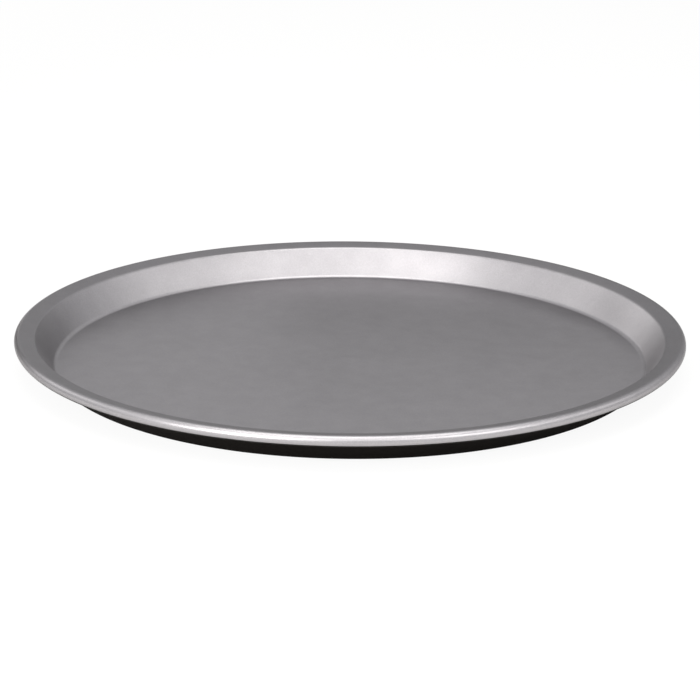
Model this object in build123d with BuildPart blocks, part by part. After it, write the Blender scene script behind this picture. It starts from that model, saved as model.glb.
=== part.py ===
from build123d import *
import math
import os

# Round pizza pan: one steel pressing with a wired rolled rim, a grey release coat inside
# and a black coat outside. Millimetres, +Z up, origin on the floor at the pan's centre.

# Driving sizes of the pan, measured over the grey coat's face
pan_radius = 165.0            # widest point of the rolled rim
flange_width = 10.0           # from the wall's top crease out to the widest point
wall_lean = 9.1               # how far the wall leans out between its two creases
pan_depth = 14.7              # from the base up to the mouth crease
flange_rise = 1.5             # from the mouth crease up to the top of the rim
base_bend_radius = 3.0        # inside bend between base and wall
mouth_bend_radius = 1.2       # outside bend between wall and flange, over the black coat

# Sheet, coats and wire
sheet_thickness = 0.8
grey_coat_thickness = 0.1
black_coat_thickness = 0.1
wire_radius = 1.7             # the wire that the rim is rolled over
wire_clearance = 0.1          # between the wire and the inside of the roll
curl_end_gap = 0.15           # between the roll's cut edge and the flange above it

# Depths below the grey coat's face, where one layer ends and the next begins
face_depth = 0
steel_top_depth = grey_coat_thickness
steel_under_depth = steel_top_depth + sheet_thickness
outside_depth = steel_under_depth + black_coat_thickness

# Creases, heights and the roll's centre, all worked out from the sizes above
mouth_radius = pan_radius - flange_width
base_radius = mouth_radius - wall_lean
base_height = outside_depth
mouth_height = base_height + pan_depth
rim_top_height = mouth_height + flange_rise
roll_hollow_radius = wire_radius + wire_clearance
roll_steel_radius = roll_hollow_radius + sheet_thickness
rim_radius = roll_steel_radius + grey_coat_thickness
roll_centre = Vector(pan_radius - rim_radius, rim_top_height - rim_radius)

# The flange is the line from the mouth crease that just touches the top of the roll
base_crease = Vector(base_radius, base_height)
mouth_crease = Vector(mouth_radius, mouth_height)
to_roll = roll_centre - mouth_crease
flange_angle = math.degrees(math.atan2(to_roll.Y, to_roll.X) + math.asin(rim_radius / to_roll.length))
wall_angle = math.degrees(math.atan2(pan_depth, wall_lean))
touch_angle = 90 + flange_angle

# The roll's cut edge stops where its outside clears the flange's underside by the end gap
drop_to_end = rim_radius - steel_under_depth - curl_end_gap
end_turn = math.degrees(math.acos(drop_to_end / roll_steel_radius))

# The coats meet this far round the roll below its widest point, and the black one runs on
# from there to this share of the end turn short of the flange
coat_meeting_drop = 34.0      # degrees
coat_start_share = 0.7

# Flat part of the underside, inside the bend: the face that the pan stands on
underside_crease_radius = base_radius + outside_depth * math.tan(math.radians(wall_angle / 2))
underside_bend_reach = (base_bend_radius + outside_depth) * math.tan(math.radians(wall_angle / 2))
flat_radius = underside_crease_radius - underside_bend_reach


def upward(angle):
    """Unit vector square to a line of the section at this slope, on the food side."""
    return Vector(-math.sin(math.radians(angle)), math.cos(math.radians(angle)))


def crease_below(crease, first_angle, second_angle, depth):
    """A crease of the section, moved to the same crease of the layer at this depth."""
    first, second = upward(first_angle), upward(second_angle)
    return crease - (first + second) * (depth / (1 + first.dot(second)))


def layer_line(depth):
    """Base, wall and flange of the layer at this depth, from the centre to the roll."""
    touch = roll_centre + upward(flange_angle) * (rim_radius - depth)
    return FilletPolyline(
        (0, base_height - depth),
        crease_below(base_crease, 0, wall_angle, depth),
        crease_below(mouth_crease, wall_angle, flange_angle, depth),
        touch,
        radius=[base_bend_radius + depth, mouth_bend_radius + outside_depth - depth],
    )


def layer_face(upper_depth, lower_depth, mode=Mode.ADD):
    """Section of the sheet or coat between two depths, from the centre to the roll."""
    with BuildLine() as outline:
        upper = layer_line(upper_depth)
        lower = layer_line(lower_depth)
        Line(upper @ 0, lower @ 0)
        Line(upper @ 1, lower @ 1)
    make_face(outline.edges(), mode=mode)


def roll_face(outer_radius, inner_radius, start_angle, turn):
    """Section of one layer of the roll, turning clockwise from the start angle."""
    with BuildLine() as outline:
        outer = CenterArc(roll_centre, outer_radius, start_angle, -turn)
        inner = CenterArc(roll_centre, inner_radius, start_angle, -turn)
        Line(outer @ 0, inner @ 0)
        Line(outer @ 1, inner @ 1)
    make_face(outline.edges())


# Steel pressing: base, wall, flange and the rim rolled down and under
with BuildPart() as steel_pressing:
    with BuildSketch(Plane.XZ):
        layer_face(steel_top_depth, steel_under_depth)
        roll_face(roll_steel_radius, roll_hollow_radius, touch_angle, 360 - end_turn)
    revolve(axis=Axis.Z)

# Round wire that the rim is rolled over
with BuildPart() as rim_wire:
    with BuildSketch(Plane.XZ):
        with Locations(roll_centre):
            Circle(wire_radius)
    revolve(axis=Axis.Z)

# Grey release coat: the whole food side, over the roll and a little past its widest point
with BuildPart() as grey_inner_coat:
    with BuildSketch(Plane.XZ):
        layer_face(face_depth, steel_top_depth)
        roll_face(rim_radius, roll_steel_radius, touch_angle, touch_angle + coat_meeting_drop)
    revolve(axis=Axis.Z)

# Black coat of the wall, flange and underside of the roll, sealing the roll's cut edge
with BuildPart() as black_outer_coat:
    with BuildSketch(Plane.XZ):
        black_turn = 360 - touch_angle - coat_meeting_drop - end_turn * coat_start_share
        roll_face(rim_radius, roll_steel_radius, -coat_meeting_drop, black_turn)
        layer_face(face_depth, steel_under_depth, mode=Mode.SUBTRACT)
        layer_face(steel_under_depth, outside_depth)
        with Locations(roll_centre):
            Circle(roll_steel_radius, mode=Mode.SUBTRACT)
    revolve(axis=Axis.Z)
    with BuildSketch(Plane.XY):
        Circle(flat_radius)
    extrude(amount=black_coat_thickness, mode=Mode.SUBTRACT)

# Black coat of the flat underside, the face that the pan stands on
with BuildPart() as black_base_coat:
    with BuildSketch(Plane.XY):
        Circle(flat_radius)
    extrude(amount=black_coat_thickness)

pieces = {
    "steel_pressing": steel_pressing,
    "rim_wire": rim_wire,
    "grey_inner_coat": grey_inner_coat,
    "black_outer_coat": black_outer_coat,
    "black_base_coat": black_base_coat,
}
os.makedirs("parts", exist_ok=True)
for name, piece in pieces.items():
    piece.part.label = name
    export_step(piece.part, f"parts/{name}.step")
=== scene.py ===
# %% [markdown]
# A round pizza pan, pressed from one disc of thin steel.
# The wall flares out, the flange rises a little, and the rim is rolled down over a wire.
# A satin metallic-grey release coat covers the food side and a black coat covers the outside.
# The frame holds the same pan as plain solids. This lesson spins finer meshes in the same
# place, gives each its finish, and lights and films them in a small white studio.

# %% Load the frame
import math

import bmesh
import bpy
from mathutils import Matrix, Vector


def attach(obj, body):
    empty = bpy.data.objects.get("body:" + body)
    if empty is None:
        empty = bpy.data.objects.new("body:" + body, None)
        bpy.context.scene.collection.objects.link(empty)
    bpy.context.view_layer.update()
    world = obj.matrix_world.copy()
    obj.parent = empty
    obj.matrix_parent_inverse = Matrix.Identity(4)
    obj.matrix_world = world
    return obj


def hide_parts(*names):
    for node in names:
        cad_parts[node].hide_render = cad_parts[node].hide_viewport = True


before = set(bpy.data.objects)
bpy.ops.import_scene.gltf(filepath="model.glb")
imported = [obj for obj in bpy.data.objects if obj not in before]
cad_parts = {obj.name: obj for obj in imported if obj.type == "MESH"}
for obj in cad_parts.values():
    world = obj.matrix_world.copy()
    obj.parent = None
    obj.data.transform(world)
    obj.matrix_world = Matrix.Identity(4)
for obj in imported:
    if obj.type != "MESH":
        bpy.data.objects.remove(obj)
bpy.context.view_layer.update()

print("nodes in the frame:", sorted(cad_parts))

# %% [markdown]
# The pan's sizes. Blender works in metres, so each length is a number of millimetres
# times mm. A presser would read them off the pan's section: a radius, two widths, a
# depth and a rise, the bends, the sheet and its coats, and the wire in the rim.

# %% Sizes of the pan
mm = 0.001

pan_radius = 165.0 * mm
flange_width = 10.0 * mm
wall_lean = 9.1 * mm
pan_depth = 14.7 * mm
flange_rise = 1.5 * mm
base_bend_radius = 3.0 * mm
mouth_bend_radius = 1.2 * mm
sheet_thickness = 0.8 * mm
coat_thickness = 0.1 * mm
wire_radius = 1.7 * mm
wire_clearance = 0.1 * mm
curl_end_gap = 0.15 * mm
coat_meeting_drop = math.radians(34)

print(f"pan {2 * pan_radius / mm:.0f} mm across, sheet {sheet_thickness / mm:.1f} mm thick")

# %% [markdown]
# All other places are worked out from these sizes, so that a change to one carries
# through. The black face stands on the table at height zero. Two creases fix the grey
# face: where the base turns up into the wall, and where the wall turns out into the
# flange. The flange then runs up until it just touches the top of the roll, so its slope
# follows from where the roll sits.

# %% Creases, heights and the roll
mouth_radius = pan_radius - flange_width
base_radius = mouth_radius - wall_lean
steel_under_depth = coat_thickness + sheet_thickness
outside_depth = steel_under_depth + coat_thickness
roll_hollow_radius = wire_radius + wire_clearance
roll_steel_radius = roll_hollow_radius + sheet_thickness
rim_radius = roll_steel_radius + coat_thickness
roll_inner_radius = pan_radius - 2 * rim_radius
base_height = outside_depth
mouth_height = base_height + pan_depth
rim_top_height = mouth_height + flange_rise
roll_centre = Vector((pan_radius - rim_radius, rim_top_height - rim_radius))
base_crease = Vector((base_radius, base_height))
mouth_crease = Vector((mouth_radius, mouth_height))

to_roll = roll_centre - mouth_crease
flange_slope = math.atan2(to_roll.y, to_roll.x) + math.asin(rim_radius / to_roll.length)
wall_slope = math.atan2(pan_depth, wall_lean)
touch_angle = math.pi / 2 + flange_slope
print(f"wall at {math.degrees(wall_slope):.1f} deg, flange rises {math.degrees(flange_slope):.1f} deg")

# %% [markdown]
# A pan is a body of revolution, so its shape is one line: the section from the centre
# out to the roll. A screw modifier or a curve with a bevel could turn it, but a section
# kept as a plain list of points lets every layer follow the same line at its own depth.
# Corners become arcs here, with the points close together on the bends and wider apart
# on the straight runs.

# %% Arcs, bends and straight runs
arc_step = math.radians(6)
straight_step = 6.0 * mm


def arc(centre, radius, start, end):
    """Points on an arc from one angle to another, both ends included."""
    steps = max(2, math.ceil(abs(end - start) / arc_step))
    angles = [start + (end - start) * step / steps for step in range(steps + 1)]
    return [centre + radius * Vector((math.cos(angle), math.sin(angle))) for angle in angles]


def bend(before, corner, after, radius):
    """The arc that rounds one corner of a line."""
    into, out = (corner - before).normalized(), (after - corner).normalized()
    turn = math.atan2(into.x * out.y - into.y * out.x, into.dot(out))
    side = math.copysign(1, turn)
    start = corner - into * radius * math.tan(abs(turn) / 2)
    centre = start + side * radius * Vector((-into.y, into.x))
    first = math.atan2(start.y - centre.y, start.x - centre.x)
    return arc(centre, radius, first, first + turn)


def fill_straights(points):
    """Adds points along the long runs, so that the mesh can carry a gentle wave."""
    filled = [points[0]]
    for start, end in zip(points, points[1:]):
        steps = max(1, math.ceil((end - start).length / straight_step))
        filled += [start.lerp(end, step / steps) for step in range(1, steps + 1)]
    return filled


print("points round the whole wire:", len(arc(roll_centre, wire_radius, 0, 2 * math.pi)[:-1]))

# %% [markdown]
# The pan has three layers: grey coat, steel and black coat. Each face below the grey
# one is the same line moved into the sheet by a depth, square to itself, because sheet
# and paint are as thick on the wall as on the base. A copy moved straight down would be
# quicker to make, but it would leave the steep wall too thin.

# %% The line of one layer
def upward(slope):
    """Unit vector square to a line of this slope, on the food side."""
    return Vector((-math.sin(slope), math.cos(slope)))


def crease_below(crease, first_slope, second_slope, depth):
    """A crease of the section, moved to the same crease of a deeper layer."""
    first, second = upward(first_slope), upward(second_slope)
    return crease - (first + second) * (depth / (1 + first.dot(second)))


def layer_line(depth, end):
    """Base, wall and flange at this depth below the grey face, from the centre to an end."""
    middle = Vector((0, base_height - depth))
    low = crease_below(base_crease, 0, wall_slope, depth)
    high = crease_below(mouth_crease, wall_slope, flange_slope, depth)
    base_arc = bend(middle, low, high, base_bend_radius + depth)
    mouth_arc = bend(low, high, end, mouth_bend_radius + outside_depth - depth)
    return fill_straights([middle] + base_arc + mouth_arc + [end])


def roll_point(radius, angle):
    """A point on the roll at this radius and angle."""
    return roll_centre + radius * Vector((math.cos(angle), math.sin(angle)))


def meeting_angle(depth, radius):
    """Where the flange at this depth runs into the roll at this radius, under the flange."""
    return touch_angle + math.acos((rim_radius - depth) / radius)


print("points on the grey face's line:", len(layer_line(0, roll_point(rim_radius, touch_angle))))

# %% [markdown]
# A sheet pressed this thin is never dead true. The base is bowed up by about a tenth of
# a millimetre, which keeps the pan from rocking, and the press leaves a slow wave of a
# few hundredths in the wall. The eye only sees them as soft changes in the reflection.
# A sculpting brush could push them in, but a few sums of sines repeat exactly and carry
# every layer along together.

# %% The press's slight unevenness
base_bow = 0.12 * mm
ripple_share = 0.25
ripple_count = 3
ripple_twist = 11
wall_wave = 0.035 * mm
wave_counts = (5, 9, 14)


def ease(share):
    """Goes from 0 to 1 with a gentle start and a gentle end."""
    return share * share * (3 - 2 * share)


def press_lift(radius, angle):
    """How far the sheet stands above its true line here, which is nothing on the roll."""
    if radius >= roll_inner_radius:
        return 0.0
    inward = 1 - radius / base_radius
    if inward > 0:
        ripple = 1 + ripple_share * math.sin(ripple_count * angle + ripple_twist * inward)
        return base_bow * ease(inward) * ripple
    outward = (radius - base_radius) / (roll_inner_radius - base_radius)
    swell = math.sin(math.pi * outward)
    wave = sum(math.sin(count * angle + count) / count for count in wave_counts)
    return wall_wave * swell * wave


print(f"lift at the centre {press_lift(0, 0) / mm:.2f} mm")

# %% [markdown]
# Spinning turns the section into a mesh: one ring of points for each section point, and
# one band of faces between two rings. A point on the axis stays a single point, so the
# base closes with a clean fan and not with a knot of doubled points.

# %% Rings of points and bands of faces
ring_points = 384
axis_reach = 0.1 * mm


def ring_of_points(mesh, point):
    """The points that one section point passes through, or a single one on the axis."""
    if point.x < axis_reach:
        return [mesh.verts.new((0, 0, point.y + press_lift(0, 0)))]
    ring = []
    for step in range(ring_points):
        angle = 2 * math.pi * step / ring_points
        height = point.y + press_lift(point.x, angle)
        ring.append(mesh.verts.new((point.x * math.cos(angle), point.x * math.sin(angle), height)))
    return ring


def band_of_faces(mesh, inner, outer):
    """The faces between two rings: triangles at the axis, four-sided faces elsewhere."""
    if len(inner) == len(outer) == 1:
        return
    for step in range(ring_points):
        after = (step + 1) % ring_points
        corners = [inner[step % len(inner)], outer[step % len(outer)]]
        corners += [outer[after % len(outer)], inner[after % len(inner)]]
        each_corner_once = list(dict.fromkeys(corners))
        mesh.faces.new(each_corner_once)


print(f"the rim's points are {2 * math.pi * pan_radius / ring_points / mm:.1f} mm apart")

# %% [markdown]
# The last ring joins back to the first, because each section is a closed line, and so
# each piece is a closed solid. Its shading is smooth, and stays sharp only where the
# section has a true edge, such as the roll's cut edge. Splitting the mesh along such
# edges would look the same, but would leave it open.

# %% Spin a section into a mesh
sharp_angle = math.radians(50)


def put_in_scene(name, mesh):
    """Makes a finished mesh an object of the scene."""
    data = bpy.data.meshes.new(name)
    mesh.to_mesh(data)
    mesh.free()
    thing = bpy.data.objects.new(name, data)
    bpy.context.scene.collection.objects.link(thing)
    print(f"{name}: {len(data.vertices)} points, {len(data.polygons)} faces")
    return thing


def spin(name, section):
    """A smooth closed mesh made by turning a section about the pan's axis."""
    mesh = bmesh.new()
    rings = [ring_of_points(mesh, point) for point in section]
    for inner, outer in zip(rings, rings[1:] + rings[:1]):
        band_of_faces(mesh, inner, outer)
    bmesh.ops.recalc_face_normals(mesh, faces=mesh.faces)
    piece = put_in_scene(name, mesh)
    piece.data.shade_smooth()
    piece.data.set_sharp_from_angle(angle=sharp_angle)
    return piece


# %% [markdown]
# The steel pressing is the pan itself, though both its faces end up under a coat.
# A press draws the disc over a punch, trims the edge, and a second tool curls that edge
# down, out of sight and almost back to the flange. One surface with a Solidify modifier
# could stand for it. A closed section is exact, though, and the coats lie on it without
# a gap: it runs along the top, round the outside of the roll, back round the hollow and
# home along the underside.

# %% The steel pressing
drop_to_end = rim_radius - steel_under_depth - curl_end_gap
curl_end = touch_angle - 2 * math.pi + math.acos(drop_to_end / roll_steel_radius)
roll_outside = arc(roll_centre, roll_steel_radius, touch_angle, curl_end)
roll_hollow = arc(roll_centre, roll_hollow_radius, curl_end, touch_angle)
steel_top = layer_line(coat_thickness, roll_outside[0])
steel_under = layer_line(steel_under_depth, roll_hollow[-1])
steel_section = steel_top + roll_outside[1:] + roll_hollow[:-1] + steel_under[::-1]
pressed_sheet = spin("pressed_sheet", steel_section)
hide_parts("steel_pressing")

# %% [markdown]
# The wire gives a thin rim its stiffness and a safe, thick edge to hold. It is cut from
# a coil, bent to a ring and butted end to end before the rim is curled over it.
# A torus would do as well. Here it is a circle spun about the axis, a hair smaller than
# the hollow of the roll, so that it is made and measured like the other pieces.

# %% The wire in the rim
wire_ring = spin("wire_ring", arc(roll_centre, wire_radius, 0, 2 * math.pi)[:-1])
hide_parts("rim_wire")

# %% [markdown]
# The grey coat is sprayed from above, so it covers the food side and runs out over the
# roll. The gun is swung round the rim too, so the coat reaches a little past the widest
# point before the black of the outside takes over. It could be a colour on the steel's
# mesh, but as a skin of its own it has a real edge low on the roll.

# %% The grey coat
grey_roll = arc(roll_centre, rim_radius, touch_angle, -coat_meeting_drop)
grey_back = arc(roll_centre, roll_steel_radius, -coat_meeting_drop, touch_angle)
grey_top = layer_line(0, grey_roll[0])
grey_under = layer_line(coat_thickness, grey_back[-1])
grey_skin = spin("grey_skin", grey_top + grey_roll[1:] + grey_back[:-1] + grey_under[::-1])
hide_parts("grey_inner_coat")

# %% [markdown]
# The black coat is sprayed from below. It covers the underside, the wall and the flange,
# fills the crevice where the roll's cut edge comes back to the flange, and meets the
# grey coat low on the roll. It could stop at the crevice, but bare steel would then show
# from below. The frame keeps its flat bottom as a node of its own for the floor to push
# on, and this one skin stands for both.

# %% The black coat
outside_meeting = meeting_angle(outside_depth, rim_radius)
inside_meeting = meeting_angle(steel_under_depth, roll_steel_radius)
coats_meet = 2 * math.pi - coat_meeting_drop
black_roll = arc(roll_centre, rim_radius, outside_meeting, coats_meet)
black_back = arc(roll_centre, roll_steel_radius, coats_meet, inside_meeting)
black_under = layer_line(outside_depth, black_roll[0])
black_inside = layer_line(steel_under_depth, black_back[-1])
black_skin = spin("black_skin", black_under + black_roll[1:] + black_back[:-1] + black_inside[::-1])
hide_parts("black_outer_coat", "black_base_coat")

# %% [markdown]
# Colours are written as sRGB hex values, the way a paint chart gives them. Blender's
# shaders work with linear light, so one function turns them, by the curve of the sRGB
# standard. Typing linear values would save it, but nobody can picture those.

# %% Colours
def linear(hex_colour):
    """Linear colour of an sRGB hex value, such as a6a19c."""
    shares = [int(hex_colour[place:place + 2], 16) / 255 for place in (0, 2, 4)]
    return [s / 12.92 if s <= 0.04045 else ((s + 0.055) / 1.055) ** 2.4 for s in shares] + [1.0]


print("middle grey 808080 in linear:", [round(value, 3) for value in linear("808080")])

# %% [markdown]
# A material is a tree of nodes. It could be wired by hand in the shader editor, but in
# code one small function is enough: it adds a node with its settings and its links to
# the nodes before it. Two more start an empty material, and turn the real size of a
# pattern into the scale that its node asks for.

# %% Nodes, materials and scales
def add(tree, kind, settings=(), inputs=(), links=()):
    """Adds a node, sets its options and inputs, and links other nodes' outputs to it."""
    node = tree.nodes.new(kind)
    for option, value in dict(settings).items():
        setattr(node, option, value)
    for socket, value in dict(inputs).items():
        node.inputs[socket].default_value = value
    for socket, output in dict(links).items():
        tree.links.new(output, node.inputs[socket])
    return node


def new_material(name):
    """An empty node material and its tree."""
    material = bpy.data.materials.new(name)
    material.use_nodes = True
    material.node_tree.nodes.clear()
    return material, material.node_tree


def waves_per_metre(size):
    """Scale of a pattern whose features have this size."""
    return 1 / size


print(f"a pattern of 1 mm has a scale of {waves_per_metre(mm):.0f}")

# %% [markdown]
# Sprayed release coat: a baked resin film, loaded with fine aluminium flake so that it
# reads as a grey metal, and left satin so that food lets go. Each flake leans its own
# way and takes the light a little differently, which gives a fine sparkle. A noise could
# do that, but the cells of a Voronoi pattern are like flakes. Each cell comes as a colour
# of its own, which a Map Range node turns into one tone from 0 to 1. Real flakes are
# 0.02 to 0.05 mm across, too fine to show at this distance, so they are drawn about ten
# times as coarse.

# %% Aluminium flake in the release coat
flake_size = 0.35 * mm
dark_flake = linear("8e8c8f")
light_flake = linear("99979a")

release_coat, tree = new_material("sprayed aluminium-flake release coat")
place = add(tree, "ShaderNodeTexCoord")
flakes = add(tree, "ShaderNodeTexVoronoi", settings={"voronoi_dimensions": "3D"},
             inputs={"Scale": waves_per_metre(flake_size)}, links={"Vector": place.outputs["Object"]})
flake_tone = add(tree, "ShaderNodeMapRange", inputs={"To Min": 0.0, "To Max": 1.0},
                 links={"Value": flakes.outputs["Color"]})
flake_colour = add(tree, "ShaderNodeMix", settings={"data_type": "RGBA"},
                   inputs={"A": dark_flake, "B": light_flake},
                   links={"Factor": flake_tone.outputs["Result"]})
print(f"flakes drawn {flake_size / mm:.2f} mm across")

# %% [markdown]
# No gun sprays quite evenly. The film is a little thicker here and thinner there, in
# clouds about a centimetre wide, which the eye reads as a faint mottle. A painted picture
# could show them, but a soft noise repeats nowhere and follows the pan at any size.

# %% Clouds in the release coat
cloud_size = 9.0 * mm
cloud_tones = (0.93, 1.07)

clouds = add(tree, "ShaderNodeTexNoise", inputs={"Scale": waves_per_metre(cloud_size), "Detail": 2.0},
             links={"Vector": place.outputs["Object"]})
cloud_tone = add(tree, "ShaderNodeMapRange", inputs={"To Min": cloud_tones[0], "To Max": cloud_tones[1]},
                 links={"Value": clouds.outputs["Fac"]})
clouded_colour = add(tree, "ShaderNodeMix", settings={"data_type": "RGBA", "blend_type": "MULTIPLY"},
                     inputs={"Factor": 1.0},
                     links={"A": flake_colour.outputs["Result"], "B": cloud_tone.outputs["Result"]})
print(f"clouds {cloud_size / mm:.0f} mm wide, tones times {cloud_tones[0]} to {cloud_tones[1]}")

# %% [markdown]
# Painted shade: in a ring that runs from the mouth out over the top of the roll, the coat's colour is
# multiplied by a light grey, so the flange reads a shade darker and the highlight on the top of the roll
# is toned down. It could be a separate material on those faces, but then it would end in a hard line. A
# range of distances from the pan's axis lets it fade over a millimetre.

# %% Painted shade on the flange and the top of the roll
shade_past_top = 0.4 * rim_radius
shade_inner = mouth_radius
shade_outer = roll_centre.x + shade_past_top
shade_fade = 0.6 * mm
# painted shade: the grey that darkens the flange and the top of the roll
painted_shade_tint = linear("dedede")
without_height = (1, 1, 0)

flat_place = add(tree, "ShaderNodeVectorMath", settings={"operation": "MULTIPLY"},
                 inputs={1: without_height}, links={0: place.outputs["Object"]})
from_axis = add(tree, "ShaderNodeVectorMath", settings={"operation": "LENGTH"},
                links={0: flat_place.outputs["Vector"]})
past_inner = add(tree, "ShaderNodeMapRange",
                 inputs={"From Min": shade_inner - shade_fade, "From Max": shade_inner + shade_fade},
                 links={"Value": from_axis.outputs["Value"]})
before_outer = add(tree, "ShaderNodeMapRange",
                   inputs={"From Min": shade_outer + shade_fade, "From Max": shade_outer - shade_fade},
                   links={"Value": from_axis.outputs["Value"]})
# the ring of painted shade, from the mouth to a little past the top of the roll
painted_shade_band = add(tree, "ShaderNodeMath", settings={"operation": "MULTIPLY"},
              links={0: past_inner.outputs["Result"], 1: before_outer.outputs["Result"]})
coat_colour = add(tree, "ShaderNodeMix", settings={"data_type": "RGBA", "blend_type": "MULTIPLY"},
                  inputs={"B": painted_shade_tint},
                  links={"Factor": painted_shade_band.outputs["Value"], "A": clouded_colour.outputs["Result"]})
print(f"clamped from {shade_inner / mm:.1f} to {shade_outer / mm:.1f} mm off the axis")

# %% [markdown]
# The flakes lie nearly flat in the film, so the coat reflects as a rough metal does: a
# soft sheen that follows the light. How rough it is drifts a little over some
# centimetres. The film dries with an orange peel of about a millimetre, just enough to
# break up a reflection, and the leaning flakes add a finer relief on top. Both are bumps
# here, one fed into the other, because real relief this low would need millions of faces.
# Bare metal turns white edge-on. Resin over the flake holds that back, which is what the
# specular tint does.

# %% Satin surface of the release coat
bump_height = 0.01 * mm
peel_size = 1.2 * mm
peel_strength = 0.25
flake_strength = 0.3
mottle_size = 30.0 * mm
satin_roughness = (0.36, 0.42)
edge_tint = linear("bcbcbc")

peel = add(tree, "ShaderNodeTexNoise", inputs={"Scale": waves_per_metre(peel_size), "Detail": 2.0},
           links={"Vector": place.outputs["Object"]})
mottle = add(tree, "ShaderNodeTexNoise", inputs={"Scale": waves_per_metre(mottle_size), "Detail": 3.0},
             links={"Vector": place.outputs["Object"]})
coat_roughness = add(tree, "ShaderNodeMapRange",
                     inputs={"To Min": satin_roughness[0], "To Max": satin_roughness[1]},
                     links={"Value": mottle.outputs["Fac"]})
peel_bump = add(tree, "ShaderNodeBump", inputs={"Strength": peel_strength, "Distance": bump_height},
                links={"Height": peel.outputs["Fac"]})
flake_bump = add(tree, "ShaderNodeBump", inputs={"Strength": flake_strength, "Distance": bump_height},
                 links={"Height": flake_tone.outputs["Result"], "Normal": peel_bump.outputs["Normal"]})
film = add(tree, "ShaderNodeBsdfPrincipled", inputs={"Metallic": 1.0, "Specular Tint": edge_tint},
           links={"Base Color": coat_colour.outputs["Result"],
                  "Roughness": coat_roughness.outputs["Result"], "Normal": flake_bump.outputs["Normal"]})
add(tree, "ShaderNodeOutputMaterial", links={"Surface": film.outputs["BSDF"]})
grey_skin.data.materials.append(release_coat)
print(f"{release_coat.name}: {len(tree.nodes)} nodes")

# %% [markdown]
# Baked black coat: the same kind of resin film with carbon black and no flake, so it is
# a plain dark paint that hardly shines. Its resin has an IOR of about 1.5, which is
# lowered to 1.2 here because the real coat stays near black even edge-on. A slight
# orange peel and a few finer grains are all that its surface shows. One flat black would
# be simpler, but it reads as a hole in the picture.

# %% Dull black coat
black_peel_size = 1.5 * mm
black_peel_strength = 0.3
grain_size = 0.3 * mm
dark_grain = linear("0b0908")
light_grain = linear("120e0c")
dull_roughness = (0.68, 0.78)
dull_ior = 1.2

black_coat, tree = new_material("baked black resin coat")
place = add(tree, "ShaderNodeTexCoord")
peel = add(tree, "ShaderNodeTexNoise", inputs={"Scale": waves_per_metre(black_peel_size), "Detail": 2.0},
           links={"Vector": place.outputs["Object"]})
grain = add(tree, "ShaderNodeTexNoise", inputs={"Scale": waves_per_metre(grain_size), "Detail": 1.0},
            links={"Vector": place.outputs["Object"]})
black_colour = add(tree, "ShaderNodeMix", settings={"data_type": "RGBA"},
                   inputs={"A": dark_grain, "B": light_grain}, links={"Factor": grain.outputs["Fac"]})
black_roughness = add(tree, "ShaderNodeMapRange",
                      inputs={"To Min": dull_roughness[0], "To Max": dull_roughness[1]},
                      links={"Value": peel.outputs["Fac"]})
black_bump = add(tree, "ShaderNodeBump", inputs={"Strength": black_peel_strength, "Distance": bump_height},
                 links={"Height": peel.outputs["Fac"]})
paint = add(tree, "ShaderNodeBsdfPrincipled", inputs={"Metallic": 0.0, "IOR": dull_ior},
            links={"Base Color": black_colour.outputs["Result"],
                   "Roughness": black_roughness.outputs["Result"], "Normal": black_bump.outputs["Normal"]})
add(tree, "ShaderNodeOutputMaterial", links={"Surface": paint.outputs["BSDF"]})
black_skin.data.materials.append(black_coat)
print(f"{black_coat.name}: {len(tree.nodes)} nodes")

# %% [markdown]
# Cold-rolled steel: the sheet leaves the mill with fine lines along the rolling
# direction, which stretch a highlight across them. They are about 0.05 mm apart and are
# drawn as streaks 0.4 mm wide and a hundred times as long. Both faces are coated, so
# this finish only shows where someone cuts the pan open. An anisotropic shader would
# give the stretched highlight, but not the lines, and a stretched noise gives both.

# %% Cold-rolled sheet steel
streak_width = 0.4 * mm
streak_length = 40.0 * mm
streak_strength = 0.2
bare_roughness = (0.25, 0.4)


def steel_finish(name, light_tone, dark_tone, scale):
    """A bare steel with streaks whose size along X, Y and Z is given by the scale."""
    material, tree = new_material(name)
    place = add(tree, "ShaderNodeTexCoord")
    stretch = add(tree, "ShaderNodeMapping", inputs={"Scale": scale},
                  links={"Vector": place.outputs["Object"]})
    streaks = add(tree, "ShaderNodeTexNoise", inputs={"Scale": 1.0, "Detail": 3.0},
                  links={"Vector": stretch.outputs["Vector"]})
    tone = add(tree, "ShaderNodeMix", settings={"data_type": "RGBA"},
               inputs={"A": linear(dark_tone), "B": linear(light_tone)},
               links={"Factor": streaks.outputs["Fac"]})
    rough = add(tree, "ShaderNodeMapRange",
                inputs={"To Min": bare_roughness[0], "To Max": bare_roughness[1]},
                links={"Value": streaks.outputs["Fac"]})
    relief = add(tree, "ShaderNodeBump", inputs={"Strength": streak_strength, "Distance": bump_height},
                 links={"Height": streaks.outputs["Fac"]})
    metal = add(tree, "ShaderNodeBsdfPrincipled", inputs={"Metallic": 1.0},
                links={"Base Color": tone.outputs["Result"], "Roughness": rough.outputs["Result"],
                       "Normal": relief.outputs["Normal"]})
    add(tree, "ShaderNodeOutputMaterial", links={"Surface": metal.outputs["BSDF"]})
    print(f"{name}: {len(tree.nodes)} nodes")
    return material


across, along = waves_per_metre(streak_width), waves_per_metre(streak_length)
rolled_steel = steel_finish("cold-rolled sheet steel", light_tone="b9b8b6", dark_tone="9c9b9a",
                            scale=(along, across, across))
pressed_sheet.data.materials.append(rolled_steel)

# %% [markdown]
# Drawn steel wire: the die leaves it bright with faint lines along its length. Round a
# ring those lines turn with it, so here the streaks are simply thin in height. The same
# function makes it, a shade darker than the sheet.

# %% Drawn steel wire
drawn_wire = steel_finish("drawn steel wire", light_tone="adacab", dark_tone="8f8e8d",
                          scale=(along, along, across))
wire_ring.data.materials.append(drawn_wire)

# %% [markdown]
# The solids that the meshes stand for are hidden, yet each keeps the finish of its own
# piece, so that nobody who shows one again meets a blank grey part.

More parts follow.
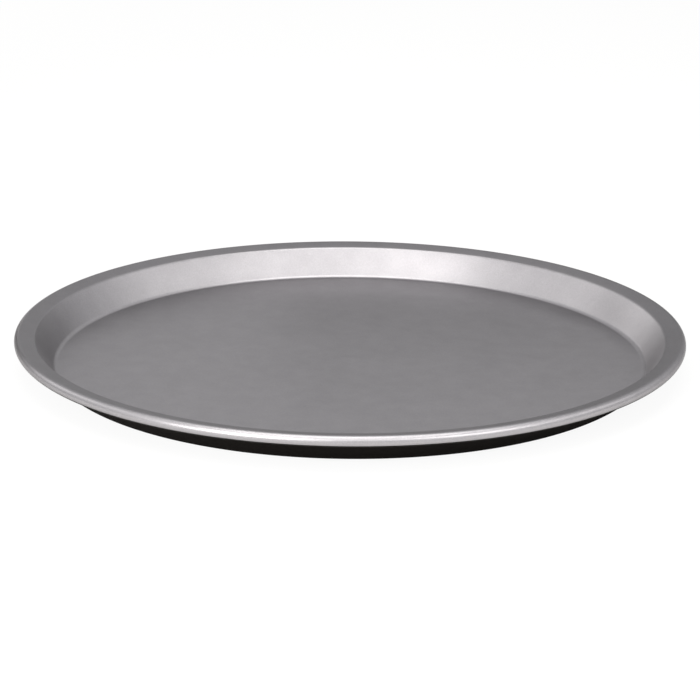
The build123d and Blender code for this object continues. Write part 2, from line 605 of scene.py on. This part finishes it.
# %% Finishes of the frame's own solids
solid_finishes = {
    "steel_pressing": rolled_steel,
    "rim_wire": drawn_wire,
    "grey_inner_coat": release_coat,
    "black_outer_coat": black_coat,
    "black_base_coat": black_coat,
}
for node, finish in solid_finishes.items():
    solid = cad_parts[node]
    solid.data.materials.clear()
    solid.data.materials.append(finish)
    print(f"{node}: {finish.name}")

# %% [markdown]
# Nothing on a pan moves, so every piece rides on the one body, named root. A list pairs each piece with
# one of the record's finishes, and is only printed.

# %% Body, and the list of finishes
slots = {
    pressed_sheet: "sheet_steel",
    wire_ring: "steel_wire",
    grey_skin: "grey_release_coat",
    black_skin: "black_coat",
}
for piece, finish_slot in slots.items():
    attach(piece, "root")
    print(f"{piece.name} rides on root and takes {finish_slot}")

# %% [markdown]
# The floor is a plain white board, as for a catalogue picture. A backdrop swept up in a
# curve would serve as well, but a wide flat disc looks the same from every side.

# %% White board
floor_radius = 3.0
floor_sides = 128

floor_mesh = bmesh.new()
bmesh.ops.create_circle(floor_mesh, cap_ends=True, segments=floor_sides, radius=floor_radius)
floor = put_in_scene("floor", floor_mesh)

# %% [markdown]
# The board has a matt white paint. To the camera, most of it glows at the white of the
# background, so that it fades into it without a horizon and still keeps a soft shadow
# under the pan. More light on the board would whiten it too, but that light would fall
# on the pan as well.

# %% Matt white floor paint
board_white = linear("f4f4f4")
background_white = linear("ffffff")
floor_glow_share = 0.92

white_paint, tree = new_material("matt white floor paint")
rays = add(tree, "ShaderNodeLightPath")
seen = add(tree, "ShaderNodeMath", settings={"operation": "MULTIPLY"}, inputs={1: floor_glow_share},
           links={0: rays.outputs["Is Camera Ray"]})
matt = add(tree, "ShaderNodeBsdfDiffuse", inputs={"Color": board_white})
glow = add(tree, "ShaderNodeEmission", inputs={"Color": background_white, "Strength": 1.0})
blend = add(tree, "ShaderNodeMixShader",
            links={0: seen.outputs["Value"], 1: matt.outputs["BSDF"], 2: glow.outputs["Emission"]})
add(tree, "ShaderNodeOutputMaterial", links={"Surface": blend.outputs["Shader"]})
floor.data.materials.append(white_paint)
print(f"{white_paint.name}: {floor_glow_share:.0%} glow to the camera")

# %% [markdown]
# The room is white too. The camera and the pan's reflections see it at full white, while
# it throws only a little light of its own, so that the softboxes do the modelling. Walls
# could be built round the table, but a plain world colour is even from every side.

# %% White room
room_light = 0.35
seen_white = 1.0

world = bpy.data.worlds.new("studio")
bpy.context.scene.world = world
world.use_nodes = True
tree = world.node_tree
tree.nodes.clear()
rays = add(tree, "ShaderNodeLightPath")
mirror_or_camera = add(tree, "ShaderNodeMath", settings={"operation": "MAXIMUM"},
                       links={0: rays.outputs["Is Camera Ray"], 1: rays.outputs["Is Glossy Ray"]})
white_seen = add(tree, "ShaderNodeMath", settings={"operation": "MAXIMUM"},
                 links={0: mirror_or_camera.outputs["Value"], 1: rays.outputs["Is Transmission Ray"]})
strength = add(tree, "ShaderNodeMapRange", inputs={"To Min": room_light, "To Max": seen_white},
               links={"Value": white_seen.outputs["Value"]})
room = add(tree, "ShaderNodeBackground", inputs={"Color": background_white},
           links={"Strength": strength.outputs["Result"]})
add(tree, "ShaderNodeOutputWorld", links={"Surface": room.outputs["Background"]})
print(f"the room is seen at {seen_white} and lights at {room_light}")

# %% [markdown]
# Softboxes stand 1.5 m from the pan and all face it. The main one is low on the left of
# the camera and a weaker one higher on its right, so the near roll and the far wall,
# which face the camera, mirror them and turn bright. A high one rounds the light off.
# The one overhead lights the wall as the base sees it, and the base mirrors that as a
# soft band under the far wall. Weak ones on both sides and behind lift the ends of the
# wall. The rest of the base and the flange mirror only the white room, and stay a middle
# grey. One big lamp would be simpler, but a satin metal shows each light on its own, and
# so it takes several to shade the wall all the way round.

# %% Softboxes
lamp_distance = 1.5
lamp_white = linear("fffdf9")[:3]


def softbox(name, turn, lift, width, depth, power):
    """An area lamp that faces the pan, so many degrees round from the camera and up."""
    round_from_camera, up = math.radians(turn), math.radians(lift)
    reach = lamp_distance * math.cos(up)
    lamp = bpy.data.lights.new(name, "AREA")
    lamp.shape = "RECTANGLE"
    lamp.size, lamp.size_y = width, depth
    lamp.energy = power
    lamp.color = lamp_white
    box = bpy.data.objects.new(name, lamp)
    box.location = (reach * math.sin(round_from_camera), -reach * math.cos(round_from_camera),
                    lamp_distance * math.sin(up))
    box.rotation_euler = (-box.location).to_track_quat("-Z", "Y").to_euler()
    bpy.context.scene.collection.objects.link(box)
    print(f"{name}: {turn} deg round, {lift} deg up, {power} W")


softbox("main_softbox", turn=-34, lift=24, width=0.9, depth=0.6, power=18.2)
softbox("fill_softbox", turn=40, lift=32, width=0.9, depth=0.6, power=9.0)
softbox("high_softbox", turn=-18, lift=48, width=1.6, depth=0.8, power=6.6)
softbox("overhead_softbox", turn=0, lift=86, width=1.4, depth=1.0, power=17.0)
softbox("left_softbox", turn=-90, lift=35, width=0.9, depth=0.6, power=1.6)
softbox("right_softbox", turn=90, lift=35, width=0.9, depth=0.6, power=2.2)
softbox("side_left_softbox", turn=-120, lift=24, width=0.6, depth=0.6, power=2.0)
softbox("back_left_softbox", turn=-142, lift=11, width=0.9, depth=0.5, power=2.6)

# %% [markdown]
# A black net and a black card stand behind the pan, as photographers use to tame a
# reflection. The net hangs just above the table and takes away most of the white that
# the far right part of the base mirrors, so the base shades off that way. The card
# keeps the back softbox off the left end of the rim, which would else show a light line.
# The camera sees neither. The shading could be painted on the pan instead, but then it
# would be wrong under any other light.

# %% Black net and black card behind the pan
cloth_distance = 0.4
cloth_black = linear("101010")


def black_cloth(name, left, right, bottom, top, cover, blocks_lamps):
    """An upright black cloth behind the pan that takes away this share of the light."""
    mesh = bmesh.new()
    corners = [(left, bottom), (right, bottom), (right, top), (left, top)]
    mesh.faces.new([mesh.verts.new((x, cloth_distance, z)) for x, z in corners])
    cloth = put_in_scene(name, mesh)
    material, tree = new_material(name)
    holes = add(tree, "ShaderNodeBsdfTransparent")
    threads = add(tree, "ShaderNodeBsdfDiffuse", inputs={"Color": cloth_black})
    weave = add(tree, "ShaderNodeMixShader", inputs={0: cover},
                links={1: holes.outputs["BSDF"], 2: threads.outputs["BSDF"]})
    add(tree, "ShaderNodeOutputMaterial", links={"Surface": weave.outputs["Shader"]})
    cloth.data.materials.append(material)
    cloth.visible_camera = False
    cloth.visible_shadow = blocks_lamps


black_cloth("black_net", left=-0.05, right=0.6, bottom=0.06, top=0.12, cover=0.85, blocks_lamps=False)
black_cloth("black_card", left=-0.72, right=-0.31, bottom=0.0, top=0.28, cover=1.0, blocks_lamps=True)

# %% [markdown]
# The camera stands 1.2 m from the pan and 17 degrees above the table, behind a short
# telephoto lens. The lens could be set by eye, but it is worked out from how wide the
# rim is in the picture: a picture of 700 px, a sensor 36 mm wide and a focal length
# given in pixels. The pan's centre lies a little above the middle of the picture, so the
# camera aims just below it, and it is rolled by less than half a degree.

# %% Camera
picture_px = 700
focal_px = 2424
centre_from_top_px = 328.8
sensor_width = 36.0
camera_distance = 1.2
camera_elevation = math.radians(16.96)
camera_roll = math.radians(0.43)

lens = bpy.data.cameras.new("camera")
lens.sensor_width = sensor_width
lens.lens = sensor_width * focal_px / picture_px
camera = bpy.data.objects.new("camera", lens)
bpy.context.scene.collection.objects.link(camera)
bpy.context.scene.camera = camera

pan_middle = Vector((0, 0, mouth_height))
backward = Vector((0, -math.cos(camera_elevation), math.sin(camera_elevation)))
camera.location = pan_middle + backward * camera_distance
tilt_down = math.atan2(picture_px / 2 - centre_from_top_px, focal_px)
pitch = math.pi / 2 - camera_elevation - tilt_down
turn_matrix = Matrix.Rotation(pitch, 4, "X") @ Matrix.Rotation(camera_roll, 4, "Z")
camera.rotation_euler = turn_matrix.to_euler()
print(f"lens {lens.lens:.1f} mm")

# %% [markdown]
# The picture is shown with the Standard view, which leaves colours as they are written.
# A filmic view would soften the whites, and the background would no longer be white.

# %% View and finish
bpy.context.scene.view_settings.view_transform = "Standard"
